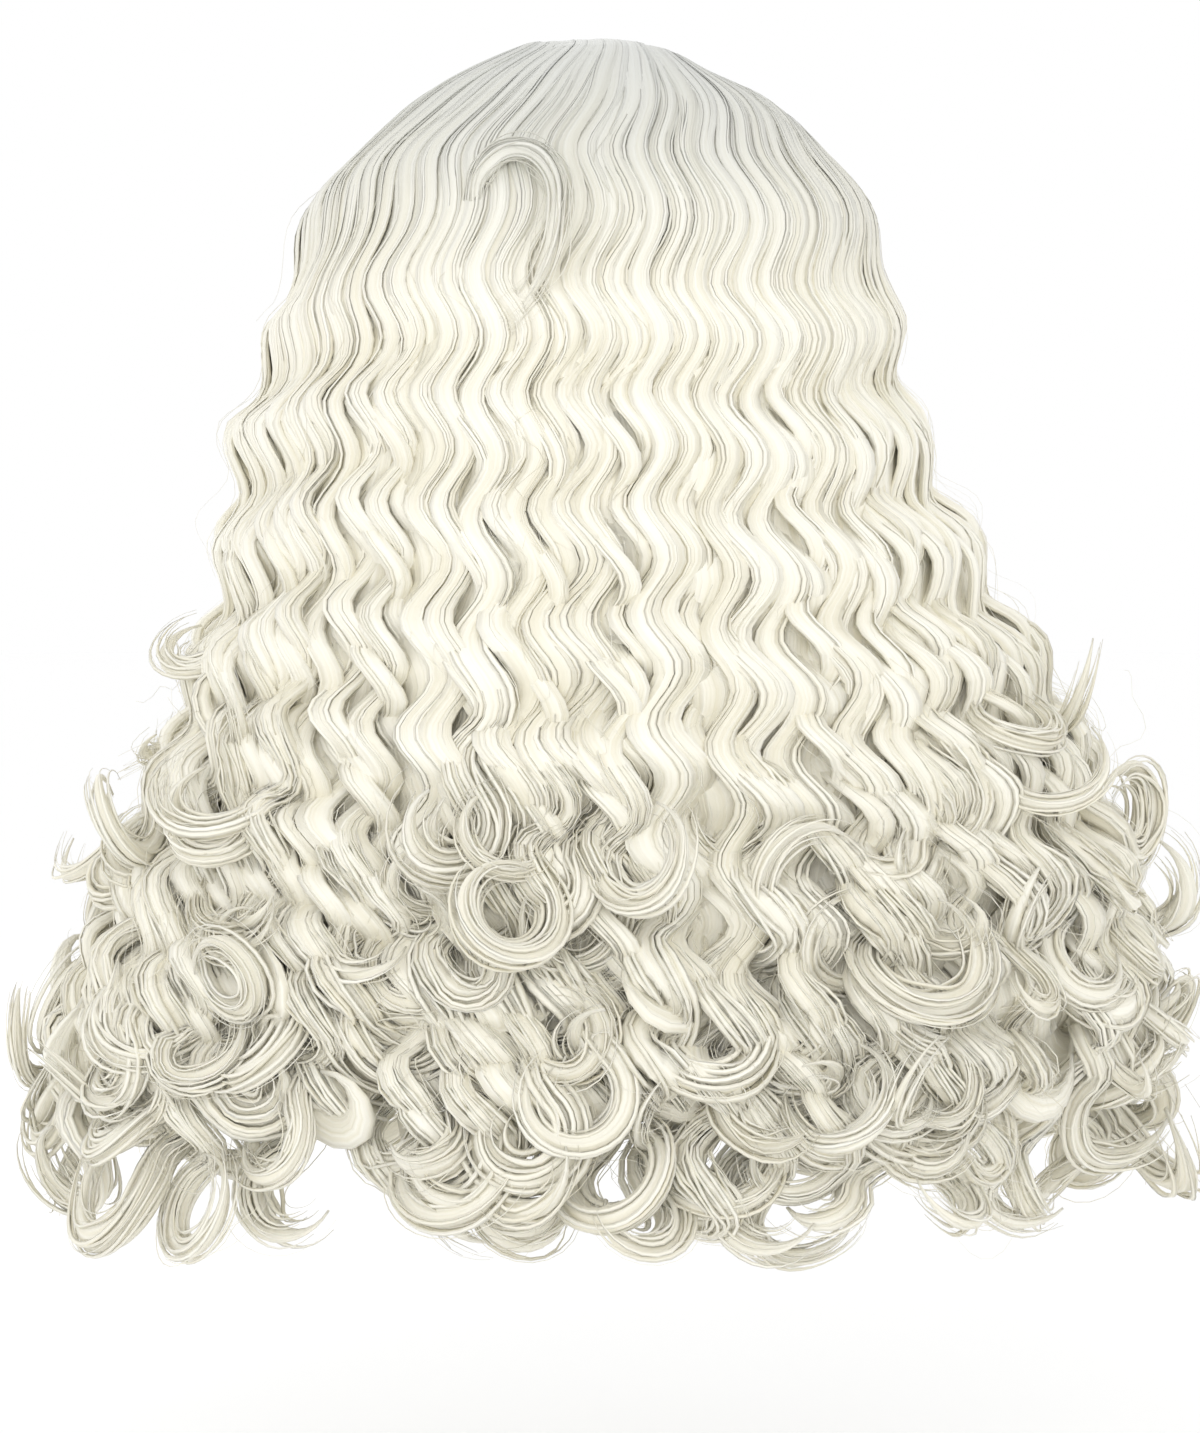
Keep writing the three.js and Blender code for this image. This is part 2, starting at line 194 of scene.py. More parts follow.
# The flat locks inside the hair: close to the head, and half way out to close the gaps between locks.
UNDER_LAYERS = (
    {"table": INSIDE, "inset": (-10, -5), "girth": (1.1, 1.5), "tip_row": (1.75, 1.95)},
    {"table": OUTLINE, "inset": (20, 26), "girth": (1.4, 1.8), "tip_row": (1.8, 1.98)},
)
UNDER_AZIMUTHS = np.linspace(50, 310, 60)

# The flat band of hair under the parting.
BAND_FROM = FRONT_FROM + 10
BAND_BEYOND = np.array((0, 30, -4)) * MM  # from the whorl to its rear end
BAND_UNDER = 7.5 * MM
BAND_HALF_WIDTHS = (10 * MM, 26 * MM)  # in front and behind
BAND_HALF_DEPTH = 1.5 * MM

# A loose curl that lies on the crown: where it is, and its course to the right and up from there,
# in millimetres as seen from behind.
CROWN_CURL_AZIMUTH = 166
CROWN_CURL_ROW = 0.85
CROWN_CURL = (
    (-17, 2), (-15, 16), (-5, 26), (8, 25), (17, 13), (18, -2), (15, -18), (8, -32), (-3, -40),
)
CROWN_CURL_ACROSS = 260 * MM  # diameter of the crown that it bends round
CROWN_CURL_LIFT = 5 * MM
CROWN_CURL_SINKS = (10 * MM, 3 * MM)  # at its root, and beyond
CROWN_CURL_MAKE = {"girth": 0.62, "bundles": 4, "tails": 0, "strands": 12, "loose": 0.5 * MM}

# The points along a lock before they are spaced out, and how closely they are spaced in the end.
COURSE_POINTS = 260
CURL_POINTS = 90
FEWEST_POINTS = 8
CROWN_DENSITY = 0.5
HUNG_DENSITY = 0.92
CURL_DENSITY = 1.3

# The make of a lock. Widths and depths are shares of the full half width and half depth.
BURY = 0.08  # share of its inset that it has over the crown
CURL_EASE = 0.22  # rows over which it turns into its end curl
CROWN_WIDTH = 0.54
HEM_WIDTH = 0.9
CREST_SWELL = 0.08  # how much wider it is on the crests of its waves
CROWN_DEPTH = 0.2
CURL_DEPTH = 1.8
CORE_IN_CURL = 0.72  # what is left of its core in the end curl, among the tails
TIP_SIZE = 0.12  # what is left at the tip
CORE_SIDES = 6
FINE_SIDES = 3
TONE = (0.5, 0.06)  # mean and spread from lock to lock
CREST_PAINTED_SHEEN = 0.14  # painted sheen: how much lighter it is on the crests of its waves
MAP_SPREAD = 5  # how far apart the tubes lie on the map of the streaks

# The smaller bundles on a lock, and the tails that fan out of its end curl.
BUNDLE_WIDTHS = (0.14, 0.26)
TAIL_WIDTHS = (0.09, 0.18)
BUNDLE_DEPTHS = (0.14, 0.26)
BUNDLE_SPREAD = 0.9
TAIL_SPREAD = 0.97
TAILS_FROM = 0.3  # how far a lock has curled where its tails start
TAILS_INSIDE = 0.3  # share of the tails that lie on the inner side
BUNDLE_LOOSE = 1.1 * MM
BUNDLE_TILT = 0.45
BUNDLE_START = 0.15  # its size where it starts
BUNDLE_TONE = (0.04, 0.09)

# The single strands on a lock, and the loose ones that stray from it.
STRAND_POINTS = 46
CURL_STRANDS = 2  # how many of a lock's strands lie on its end curl
STRAND_LOOSE = 1.4 * MM
STRAND_FLATNESS = 0.7
STRAND_TONE = (0, 0.12)
FLYAWAY_POINTS = (14, 30)
FLYAWAY_LOOSE = 4 * MM
FLYAWAY_BIAS = 0.6  # below 1, more of them start low on a lock

# Margins of the flat map, on each side of a tube and at its ends.
TUBE_MARGIN = 0.01
END_MARGIN = 0.002

# Height of the cap's edge round the head, and its panels.
CAP_EDGE_AZIMUTH = (0, 24, 50, 74, 102, 135, 180)
CAP_EDGE_Z = np.array((-52, -56, -72, -116, -104, -132, -152)) * MM
CAP_HALF_BREADTH = 77 * MM
CAP_HALF_LENGTH = 97 * MM
CAP_DEPTH = 95 * MM
CAP_WALL = 2 * MM
CAP_STEPS = (96, 28)  # faces round it, and from the crown to the edge
NAPE_TUCK = 20 * MM
CAP_PANELS = ("cap_left_front", "cap_right_front", "cap_left_back", "cap_right_back")

# The finish of the hair: the scale of its streaks across and along the fibre, in cycles a metre,
# with their detail, and the heights between which painted shade makes it darker and cooler towards the
# crown.
FINE_STREAKS = ((800, 9, 1), 4)
BROAD_STREAKS = ((260, 5, 1), 2)
SHADE_RANGE = (1.15, 1.75)
PAINTED_CROWN_SHADE_RANGE = (-85 * MM, 60 * MM)
NET_SCALE = 420
NET_SHADE = 0.6  # how dark the holes of the net are

# The stage, in metres. The camera stands behind the wig.
FLOOR_RADIUS = 12
KEY_PLACE = (0.15, 1.75, 0.3)
KEY_SIZE = 0.9
FILL_PLACE = (1.2, -1.6, 0.2)
FILL_SIZE = 1.3
FILL_SHARE = 0.6  # of the key light's power
LIGHT_AIM = Vector((0, 0, -0.22))
CAMERA_AIM = Vector((0, 0, -0.2506))
CAMERA_DISTANCE = 1.41
CAMERA_TILT = 3  # degrees that it looks down
CAMERA_LENS = 85
CAMERA_SENSOR = 36


class WigHair(bpy.types.PropertyGroup):
    """Sizes of the hair."""

    wave_length: FloatProperty(
        name="Wave length", description="One full wave along a lock", default=43 * MM, unit="LENGTH"
    )
    swing: FloatProperty(
        name="Swing", description="Sideways swing of a lock's waves", default=5 * MM, unit="LENGTH"
    )
    stand: FloatProperty(
        name="Stand", description="Swing of the waves off the surface", default=4.5 * MM, unit="LENGTH"
    )
    lock_half_width: FloatProperty(
        name="Lock half width", description="Half of a lock's width", default=8.5 * MM, unit="LENGTH"
    )
    lock_half_depth: FloatProperty(
        name="Lock half depth", description="Half of a lock's thickness", default=2.7 * MM, unit="LENGTH"
    )
    bundles: IntProperty(
        name="Bundles", description="Number of smaller bundles of fibre on each lock", default=2, min=0
    )
    tails: IntProperty(
        name="Tails", description="Number of small bundles that fan out of each end curl", default=10, min=0
    )
    point_step: FloatProperty(
        name="Point step", description="Distance between the points along a lock",
        default=5.4 * MM, unit="LENGTH",
    )
    ring: FloatProperty(
        name="Ring", description="Radius of an end curl", default=20 * MM, unit="LENGTH"
    )
    strands: IntProperty(
        name="Strands", description="Number of single strands on each lock", default=2, min=0
    )
    flyaways: IntProperty(
        name="Flyaways", description="Number of loose strands", default=600, min=0
    )
    seed: IntProperty(name="Seed", description="Which arrangement of the locks is made", default=7)


class WigColours(bpy.types.PropertyGroup):
    """Colours of the wig."""

    # The hair is mixed from deep to light by its streaks, its tone and the painted sheen on the crests.
    hair_light: FloatVectorProperty(
        name="Light hair", description="Hair where the light catches it", subtype="COLOR",
        size=3, default=(0.97, 0.946, 0.845), min=0, max=1,
    )
    hair_deep: FloatVectorProperty(
        name="Deep hair", description="Hair between the light streaks", subtype="COLOR",
        size=3, default=(0.86, 0.82, 0.675), min=0, max=1,
    )
    # Painted shade: the crown is blended towards this darker, cooler colour towards the top, where less
    # light falls.
    hair_crown_painted_shade: FloatVectorProperty(
        name="Crown hair", description="Cooler hair over the crown", subtype="COLOR",
        size=3, default=(0.52, 0.545, 0.54), min=0, max=1,
    )
    net: FloatVectorProperty(
        name="Net", description="Net of the cap", subtype="COLOR",
        size=3, default=(0.78, 0.73, 0.63), min=0, max=1,
    )


class WigStage(bpy.types.PropertyGroup):
    """The stage round the wig."""

    floor_height: FloatProperty(
        name="Floor height", description="Height of the floor under the wig",
        default=-620 * MM, unit="LENGTH",
    )
    ambient: FloatProperty(name="Ambient", description="Strength of the light all round", default=1.0)
    key: FloatProperty(
        name="Key", description="Power of the main soft light", default=5.2, unit="POWER"
    )


# Directions and surfaces


def smoothstep(x, low, high):
    share = np.clip((x - low) / (high - low), 0, 1)
    return share * share * (3 - 2 * share)


def mix(a, b, share):
    return a + (b - a) * share


def sets_in(what, row):
    """How much there is of something that grows down a lock."""
    return smoothstep(row, *SETS_IN[what])


def fades(what, row):
    """How much is left of something that fades down a lock."""
    return 1 - smoothstep(row, *FADES[what])


def from_face(azimuth):
    """Degrees from the face, the same on both sides of the head."""
    return np.minimum(azimuth, 360 - azimuth)


def behind(what, azimuth):
    """How much there is of something that grows from the face to the back."""
    return smoothstep(from_face(azimuth), *BEHIND[what])


def unit(vectors):
    return vectors / np.maximum(np.linalg.norm(vectors, axis=-1, keepdims=True), 1e-12)


def held(values, low, high, ease):
    """Values that ease towards two limits instead of passing them."""
    over = np.maximum(values - high + ease, 0)
    under = np.maximum(low + ease - values, 0)
    return values - over + ease * np.tanh(over / ease) + under - ease * np.tanh(under / ease)


def outward(azimuth):
    a = np.radians(azimuth)
    return np.stack([np.sin(a), -np.cos(a), np.zeros_like(a)], axis=-1)


def sideways(azimuth):
    return outward(azimuth + 90)


def reach(table, azimuth, z):
    """Reach of an outline from the Z axis, at a height and an azimuth."""
    x, y = np.moveaxis(outward(azimuth)[..., :2], -1, 0)
    depth = -table["z"]
    half_x = np.where(x > 0, np.interp(-z, depth, table["left"]), np.interp(-z, depth, table["right"]))
    half_y = np.where(y > 0, np.interp(-z, depth, table["back"]), np.interp(-z, depth, table["front"]))
    total = np.abs(x / half_x) ** SQUARENESS + np.abs(y / half_y) ** SQUARENESS
    return total ** (-1 / SQUARENESS)


def root_of(azimuth):
    """Where the lock at an azimuth leaves the parting."""
    share = np.clip((SIDE_TO - from_face(azimuth)) / (SIDE_TO - FRONT_FROM), 0, 1)
    forward = share * math.pi / 2
    point = outward(azimuth) * (WHORL * behind("whorl", azimuth))[..., None]
    point[..., 1] += mix(PARTING_BACK, PARTING_FRONT, np.sin(forward))
    point[..., 2] = mix(PARTING_FRONT_Z, PARTING_TOP, np.cos(forward))
    return point


def surface(table, azimuth, row):
    """Points on the outside or inside of the hair, and the way that it faces there."""
    out = outward(azimuth)
    turn = np.minimum(row, 1) * math.pi / 2
    root = root_of(azimuth)
    share = np.sin(turn)[..., None] ** CROWN_SHARPNESS
    crown = mix(root, out * reach(table, azimuth, np.full_like(row, EQUATOR))[..., None], share)
    crown[..., 2] = mix(EQUATOR, root[..., 2], np.cos(turn))
    groove = PARTING_GROOVE * (1 - behind("whorl", azimuth))
    crown[..., 2] -= groove * fades("groove", row)
    z = mix(EQUATOR, HEM, row - 1)
    hung = out * reach(table, azimuth, z)[..., None]
    hung[..., 2] = z
    point = np.where((row > 1)[..., None], hung, crown)
    normal = out * np.sin(turn)[..., None]
    normal[..., 2] = np.cos(turn)
    return point, normal


def wave_phase(azimuth, row, length):
    """Phase of the waves, which are in step over the crown and fall out of step towards the hem."""
    top = EQUATOR + CROWN_WAVES * length
    z = np.where(row > 1, mix(EQUATOR, HEM, row - 1), mix(top, EQUATOR, row))
    a = np.radians(azimuth)
    hung = np.maximum(0, row - 1)
    step = PHASE_DRIFT * (np.sin(3 * a) + HEM_PHASE_DRIFT * hung * np.sin(8 * a + 1))
    return 2 * math.pi * (EQUATOR + FIRST_CREST - z) / length + step


def length_along(path):
    return np.concatenate([[0], np.cumsum(np.linalg.norm(np.diff(path, axis=0), axis=1))])


def resampled(path, step, density=1):
    """The same path with points a step apart, or closer where the density is above 1. Columns after
    the third are carried along."""
    lengths = np.linalg.norm(np.diff(path[:, :3], axis=0), axis=1) * density
    along = np.concatenate([[0], np.cumsum(lengths)])
    at = np.linspace(0, along[-1], max(FEWEST_POINTS, round(along[-1] / step)))
    return np.stack([np.interp(at, along, column) for column in path.T], axis=1)


def rounded(points, rounds=3, cut=0.25):
    """A line of points with its corners cut off again and again."""
    points = np.array(points, float)
    for _ in range(rounds):
        near = mix(points[:-1], points[1:], cut)
        far = mix(points[:-1], points[1:], 1 - cut)
        cuts = np.stack([near, far], axis=1).reshape(-1, points.shape[1])
        points = np.concatenate([points[:1], cuts, points[-1:]])
    return points


# Strands


def grid_corners(u, v):
    """Places of the corners of a grid's faces, face by face."""
    corners = np.empty((len(v) - 1, len(u) - 1, 4, 2))
    corners[..., 0] = np.stack([u[:-1], u[1:], u[1:], u[:-1]], axis=-1)[None]
    corners[..., 1] = np.stack([v[:-1], v[:-1], v[1:], v[1:]], axis=-1)[:, None]
    return corners


def girth_of(corners):
    """Distances round a tube from its first edge, once round."""
    steps = np.linalg.norm(np.roll(corners, -1, axis=1) - corners, axis=2).mean(axis=0)
    return np.concatenate([[0], np.cumsum(steps)])


def within(share, margin):
    """A share of the way across, with a margin left at both ends."""
    return margin + (1 - 2 * margin) * share


class Strands:
    """Locks and strands that are gathered into one mesh. Each is a closed tube."""

    def __init__(self):
        self.tubes = []

    def add(self, path, side, face, half_width, half_depth, sides, tone, offset):
        """A flattened tube along a path, with directions across it and out of its flat side."""
        turn = 2 * math.pi * (np.arange(sides) - 1) / sides
        aside = -half_width[:, None] * np.sin(turn)
        rise = half_depth[:, None] * np.cos(turn)
        corners = path[:, None] + side[:, None] * aside[..., None] + face[:, None] * rise[..., None]
        corners[..., 0] = held(corners[..., 0], RIGHT_LIMIT, LEFT_LIMIT, LIMIT_EASE)
        corners[..., 1] = held(corners[..., 1], FRONT_LIMIT, BACK_LIMIT, LIMIT_EASE)
        self.tubes.append((corners, tone, offset))

    def to_object(self, name, material):
        """One mesh with a map along the fibres, a flat map, and a tone for each tube, which carries the
        painted sheen of the locks.
        """
        girths = [girth_of(corners) for corners, _, _ in self.tubes]
        ends = np.cumsum([girth[-1] for girth in girths])
        verts, sides, tips, tones_and_sheen = [], [], [], []
        maps = {"Strand": ([], []), "OFBake": ([], [])}
        base = 0
        for (corners, tone, offset), girth, end in zip(self.tubes, girths, ends):
            n, m = corners.shape[:2]
            index = base + np.arange(n * m).reshape(n, m)
            after = np.roll(index, -1, axis=1)
            sides.append(np.stack([index[:-1], after[:-1], after[1:], index[1:]], axis=-1).reshape(-1, 4))
            tips += [index[0, ::-1], index[-1]]
            along = length_along(corners.mean(axis=1))
            across = end - girth[-1] * (1 - within(girth / girth[-1], TUBE_MARGIN))
            spots = {
                "Strand": (girth + offset[0], along + offset[1]),
                "OFBake": (across / ends[-1], within(along / along[-1], END_MARGIN)),
            }
            for layer, (u, v) in spots.items():
                maps[layer][0].append(grid_corners(u, v).reshape(-1, 2))
                first = np.stack([u[-2::-1], np.full(m, v[0])], axis=1)
                last = np.stack([u[:-1], np.full(m, v[-1])], axis=1)
                maps[layer][1].append(np.concatenate([first, last]))
            verts.append(corners.reshape(-1, 3))
            tones_and_sheen.append(np.repeat(np.broadcast_to(tone, n), m))
            base += n * m
        mesh = tube_mesh(name, np.concatenate(verts), np.concatenate(sides), tips)
        for layer, (grids, caps) in maps.items():
            places = np.concatenate(grids + caps).ravel().astype(np.float32)
            mesh.uv_layers.new(name=layer).uv.foreach_set("vector", places)
        # The tone of each point, with the painted sheen on the crests, for the finish to read.
        values = mesh.attributes.new("tone", "FLOAT", "POINT").data
        values.foreach_set("value", np.concatenate(tones_and_sheen).astype(np.float32))
        mesh.validate()
        mesh.materials.append(material)
        return place(name, mesh)


def tube_mesh(name, verts, sides, tips):
    """A smooth mesh from its points, the four-sided faces of its tubes and the faces at their tips."""
    sizes = np.concatenate([np.full(len(sides), 4), [len(tip) for tip in tips]])
    loops = np.concatenate([sides.ravel(), *tips])
    mesh = bpy.data.meshes.new(name)
    mesh.vertices.add(len(verts))
    mesh.vertices.foreach_set("co", verts.ravel())
    mesh.loops.add(len(loops))
    mesh.loops.foreach_set("vertex_index", loops.astype(np.int32))
    mesh.polygons.add(len(sizes))
    mesh.polygons.foreach_set("loop_start", (np.cumsum(sizes) - sizes).astype(np.int32))
    mesh.update(calc_edges=True)
    mesh.polygons.foreach_set("use_smooth", np.ones(len(sizes), bool))
    return mesh


def place(name, mesh):
    piece = bpy.data.objects.new(name, mesh)
    bpy.context.scene.collection.objects.link(piece)
    return piece


# The courses of the locks


def lock_course(lock, hair):
    """The course of a lock from its root to the tip of its end curl: its middle, the directions
    across it and out of it, the phase of its waves, its rows, and how far it has curled: up to 1
    where the end curl starts, and up to 2 along the curl."""
    root = lock.get("root_row", 0)
    row = np.linspace(root, lock["tip_row"], COURSE_POINTS)
    swirl = SWIRL * behind("swirl", lock["azimuth"])
    turned = lock["drift"] * sets_in("drift", row) + swirl * fades("swirl", row)
    point, side, face = laid(lock["table"], lock["azimuth"], turned, row)
    hung = np.clip(row - 1, 0, 1)
    phase = wave_phase(lock["azimuth"] + turned, row, hair.wave_length) + lock["phase"] * hung
    grown = 1 + HEM_GROWTH * hung
    swing = hair.swing * lock["swing"] * sets_in("swing", row) * grown * np.sin(phase)
    stand = hair.stand * lock["swing"] * sets_in("stand", row) * grown
    inset = lock["inset"] * mix(lock.get("bury", BURY), 1, sets_in("inset", row))
    inset += lock.get("sink", 0) * (1 - smoothstep(row, root, root + CURL_RISE))
    lift = stand * (np.cos(phase) - 1) - inset
    path = point + face * lift[:, None] + side * swing[:, None]
    tangent = unit(np.gradient(path, axis=0))
    ease = smoothstep(row, lock["tip_row"] - CURL_EASE, lock["tip_row"])[:, None]
    side = unit(side - tangent * np.sum(side * tangent, axis=1, keepdims=True) * ease)
    face = unit(mix(face, np.cross(tangent, side), ease))
    curl, axis, turn = end_curl(path[-1], tangent[-1], side[-1], face[-1], lock)
    roll = lock["roll"] * ease
    side, face = side * np.cos(roll) - face * np.sin(roll), face * np.cos(roll) + side * np.sin(roll)
    whole = np.column_stack([
        np.concatenate([path, curl]),
        np.concatenate([side, rotated(side[-1], axis, turn)]),
        np.concatenate([face, rotated(face[-1], axis, turn)]),
        np.concatenate([phase, np.full(len(curl), phase[-1])]),
        np.concatenate([row, np.full(len(curl), row[-1])]),
        np.concatenate([ease[:, 0], 1 + turn[:, 0] / turn[-1, 0]]),
    ])
    density = mix(CROWN_DENSITY, HUNG_DENSITY, sets_in("fine_steps", row[1:]))
    density = np.concatenate([density, np.full(len(curl), CURL_DENSITY)])
    whole = resampled(whole, hair.point_step * lock.get("coarse", 1), density)
    return whole[:, :3], unit(whole[:, 3:6]), unit(whole[:, 6:9]), *whole[:, 9:].T


def laid(table, azimuth, turned, row):
    """Points on the combed hair, and the directions across a lock there and out of it."""
    asides = (0, -BESIDE, BESIDE)
    bare = [surface(table, azimuth + aside + turned, row)[0] for aside in asides]
    point, before, after = (line + combed(azimuth + aside, row) for line, aside in zip(bare, asides))
    for line in (point, before, after):
        right = smoothstep(-line[:, 0], 0, RIGHT_DROP_WIDTH)
        line[:, 2] -= RIGHT_DROP * right * fades("right_drop", row)
    side = unit(after - before + unit(bare[2] - bare[1]) * PLAIN_SIDE)
    face = unit(np.cross(np.gradient(point, axis=0), side))
    point[:, 2] -= ROOT_SINK * behind("root_sink", azimuth) * fades("root_sink", row)
    return point, side, face


def combed(azimuth, row):
    """How far a lock is moved so that the hair of the back comes over the top side by side."""
    back = behind("combing", azimuth)
    near = back * fades("combing", row)
    aside = COMB_SPREAD * outward(np.float64(azimuth))[0] * near
    rise = COMB_RISE * back * fades("comb_rise", row) - aside**2 / (2 * CROWN_ROUND)
    return np.stack([aside, -COMB_FORWARD * near, rise], axis=1)


def rotated(vector, axis, angles):
    """A vector turned about an axis by each of a column of angles."""
    along = axis * (vector @ axis)
    return along + (vector - along) * np.cos(angles) + np.cross(axis, vector) * np.sin(angles)


def end_curl(start, tangent, side, face, lock):
    """The ring that a lock turns into from where it ends, its axis, and the angles along it."""
    lean = math.radians(lock["lean"])
    towards = side * lock["hand"] * math.cos(lean) + face * math.sin(lean)
    axis = np.cross(tangent, towards)
    turn = np.linspace(0, 2 * math.pi * lock["turns"], CURL_POINTS)[1:, None]
    step = lock["ring"] * (1 - lock["tighten"] * turn / (2 * math.pi)) * (turn[1] - turn[0])
    course = tangent * np.cos(turn) + towards * np.sin(turn) + axis * lock["pitch"]
    return start + np.cumsum(course * step, axis=0), axis, turn


def crown_course(hair):
    """The course of the loose curl on the crown, which lies on the hair and lifts off it."""
    spot, face = surface(OUTLINE, np.array([CROWN_CURL_AZIMUTH]), np.array([CROWN_CURL_ROW]))
    right = sideways(np.float64(CROWN_CURL_AZIMUTH))
    up = np.cross(right, face[0])
    up *= np.sign(up[2])
    drawn = rounded(CROWN_CURL) * MM
    share = np.linspace(0, 1, len(drawn))
    sag = np.sum(drawn**2, axis=1) / CROWN_CURL_ACROSS
    sink = mix(*CROWN_CURL_SINKS, smoothstep(share, 0, 0.15))
    lift = CROWN_CURL_LIFT * np.sin(math.pi * share) ** 0.7 - sag - sink
    path = spot + right * drawn[:, :1] + up * drawn[:, 1:] + face * lift[:, None]
    path = resampled(path, hair.point_step / 2)
    face = np.tile(face, (len(path), 1))
    side = unit(np.cross(face, np.gradient(path, axis=0)))
    phase = np.full(len(path), math.pi / 2)
    share = np.linspace(0, 1, len(path))
    return path, side, face, phase, 1 + smoothstep(share, 0, 0.3), mix(0.25, 2, share)


def parting_band():
    """The flat band of hair that lies under the parting: its middle, its directions and its half sizes."""
    path = root_of(np.linspace(BAND_FROM, SIDE_TO, 40))
    path = np.concatenate([path, path[-1] + np.linspace(0.1, 1, 8)[:, None] * BAND_BEYOND])
    side = np.tile((-1.0, 0.0, 0.0), (len(path), 1))
    face = unit(np.cross(np.gradient(path, axis=0), side))
    share = np.linspace(0, 1, len(path))
    round_off = np.sin(mix(0.25, math.pi - 0.25, share)) ** 0.4
    half_width = mix(*BAND_HALF_WIDTHS, smoothstep(share, 0.35, 0.6)) * round_off
    return path - face * BAND_UNDER, side, face, half_width, BAND_HALF_DEPTH * round_off


# The fibre of the locks

LockBody = namedtuple("LockBody", "path side face half_width half_depth tone curled")


def map_offset(rng):
    """A random place for a tube on the map of the streaks."""
    return rng.uniform(0, MAP_SPREAD, 2)


def wander(share, rng, amount):
    """Slow random drift of one strand within its lock."""
    total = np.zeros_like(share)
    for waves in (1.5, 3.5):
        total += np.sin(2 * math.pi * (waves * share + rng.random())) * rng.normal(0, amount / waves**0.5)
    return total * smoothstep(share, 0, 0.25)


def beside(body, part, at, angle, far, loose, rng):
    """A line that runs along part of a lock at an angle round it, some way out from its middle."""
    aside = body.half_width[part] * far * math.sin(angle) + wander(at, rng, loose)
    rise = body.half_depth[part] * far * math.cos(angle) + wander(at, rng, loose * 0.5)
    return body.path[part] + body.side[part] * aside[:, None] + body.face[part] * rise[:, None]


def fill_lock(strands, course, lock, hair, rng):
    """Lays a lock along a course: a soft core, smaller bundles of fibre on it, and single strands."""
    path, side, face, phase, row, curled = course
    in_curl = smoothstep(curled, 0, 1)
    width = mix(lock.get("top", CROWN_WIDTH), HEM_WIDTH, sets_in("width", row))
    width *= 1 + CREST_SWELL * np.cos(phase)
    half_width = hair.lock_half_width * lock["girth"] ** sets_in("girth", row) * width
    depth = mix(CROWN_DEPTH, 1, sets_in("depth", row)) * mix(1, CURL_DEPTH, in_curl)
    half_depth = hair.lock_half_depth * lock["girth"] ** 0.5 * depth
    # Tone and sheen: a random tone for each lock, plus painted sheen that lightens the crests of its waves.
    tone = rng.normal(*TONE) + CREST_PAINTED_SHEEN * np.cos(phase) * sets_in("crests", row) * (1 - in_curl)
    core = mix(1, CORE_IN_CURL, smoothstep(curled, 0.4, 1.2))
    core *= mix(1, TIP_SIZE, smoothstep(curled, 1.4, 2))
    strands.add(path, side, face, half_width * core, half_depth * core, CORE_SIDES, tone, map_offset(rng))
    body = LockBody(path, side, face, half_width, half_depth, tone, curled)
    lay_bundles(strands, body, lock, rng)
    lay_strands(strands, body, lock, rng)


def lay_bundles(strands, body, lock, rng):
    """Lays smaller bundles along a lock, and tails that fan out of its end curl."""
    start = int(np.argmax(body.curled > TAILS_FROM))
    spread = np.linspace(-TAIL_SPREAD, TAIL_SPREAD, lock["tails"])
    kinds = [(0, rng.uniform(-BUNDLE_SPREAD, BUNDLE_SPREAD), BUNDLE_WIDTHS) for _ in range(lock["bundles"])]
    kinds += [(start, across, TAIL_WIDTHS) for across in spread]
    for first, across, widths in kinds:
        angle = math.asin(np.clip(across + rng.normal(0, 0.06), -1, 1))
        if first and rng.random() < TAILS_INSIDE:
            angle = math.pi - angle
        end = first + round((len(body.path) - first) * rng.uniform(0.84, 1))
        part = slice(first, end)
        at = np.linspace(0, 1, end - first)
        fan = 0.92 + rng.uniform(-0.2, 0.35) * smoothstep(at, 0.3, 1)
        bundle = beside(body, part, at, angle, fan, lock.get("loose", BUNDLE_LOOSE), rng)
        tilt = math.sin(angle) * BUNDLE_TILT
        face = body.face[part] * math.cos(tilt) + body.side[part] * math.sin(tilt)
        side = body.side[part] * math.cos(tilt) - body.face[part] * math.sin(tilt)
        size = mix(BUNDLE_START, 1, smoothstep(at, 0, 0.25)) * mix(1, TIP_SIZE, smoothstep(at, 0.7, 1))
        half_width = body.half_width[part] * rng.uniform(*widths) * size
        half_depth = body.half_depth[part] * rng.uniform(*BUNDLE_DEPTHS) * size
        tone = body.tone[part] + rng.normal(*BUNDLE_TONE)
        strands.add(bundle, side, face, half_width, half_depth, FINE_SIDES, tone, map_offset(rng))


def lay_strands(strands, body, lock, rng):
    """Lays single strands along a lock: the first few on its end curl, and the others anywhere."""
    count = min(STRAND_POINTS, len(body.path))
    last = len(body.path) - count
    for k in range(lock["strands"]):
        first = last if k < CURL_STRANDS else rng.integers(0, last + 1)
        part = slice(first, first + count)
        at = np.linspace(0, 1, count)
        far = rng.uniform(1, 1.2) + rng.uniform(0, 0.4) * at
        angle = math.radians(rng.uniform(-100, 100))
        strand = beside(body, part, at, angle, far, STRAND_LOOSE, rng)
        thick = rng.uniform(0.16, 0.34) * MM * mix(1, 0.4, smoothstep(np.abs(at - 0.4), 0.2, 0.6))
        flat = thick * STRAND_FLATNESS
        tone = body.tone[part] + rng.normal(*STRAND_TONE)
        side, face = body.side[part], body.face[part]
        strands.add(strand, side, face, thick, flat, FINE_SIDES, tone, map_offset(rng))


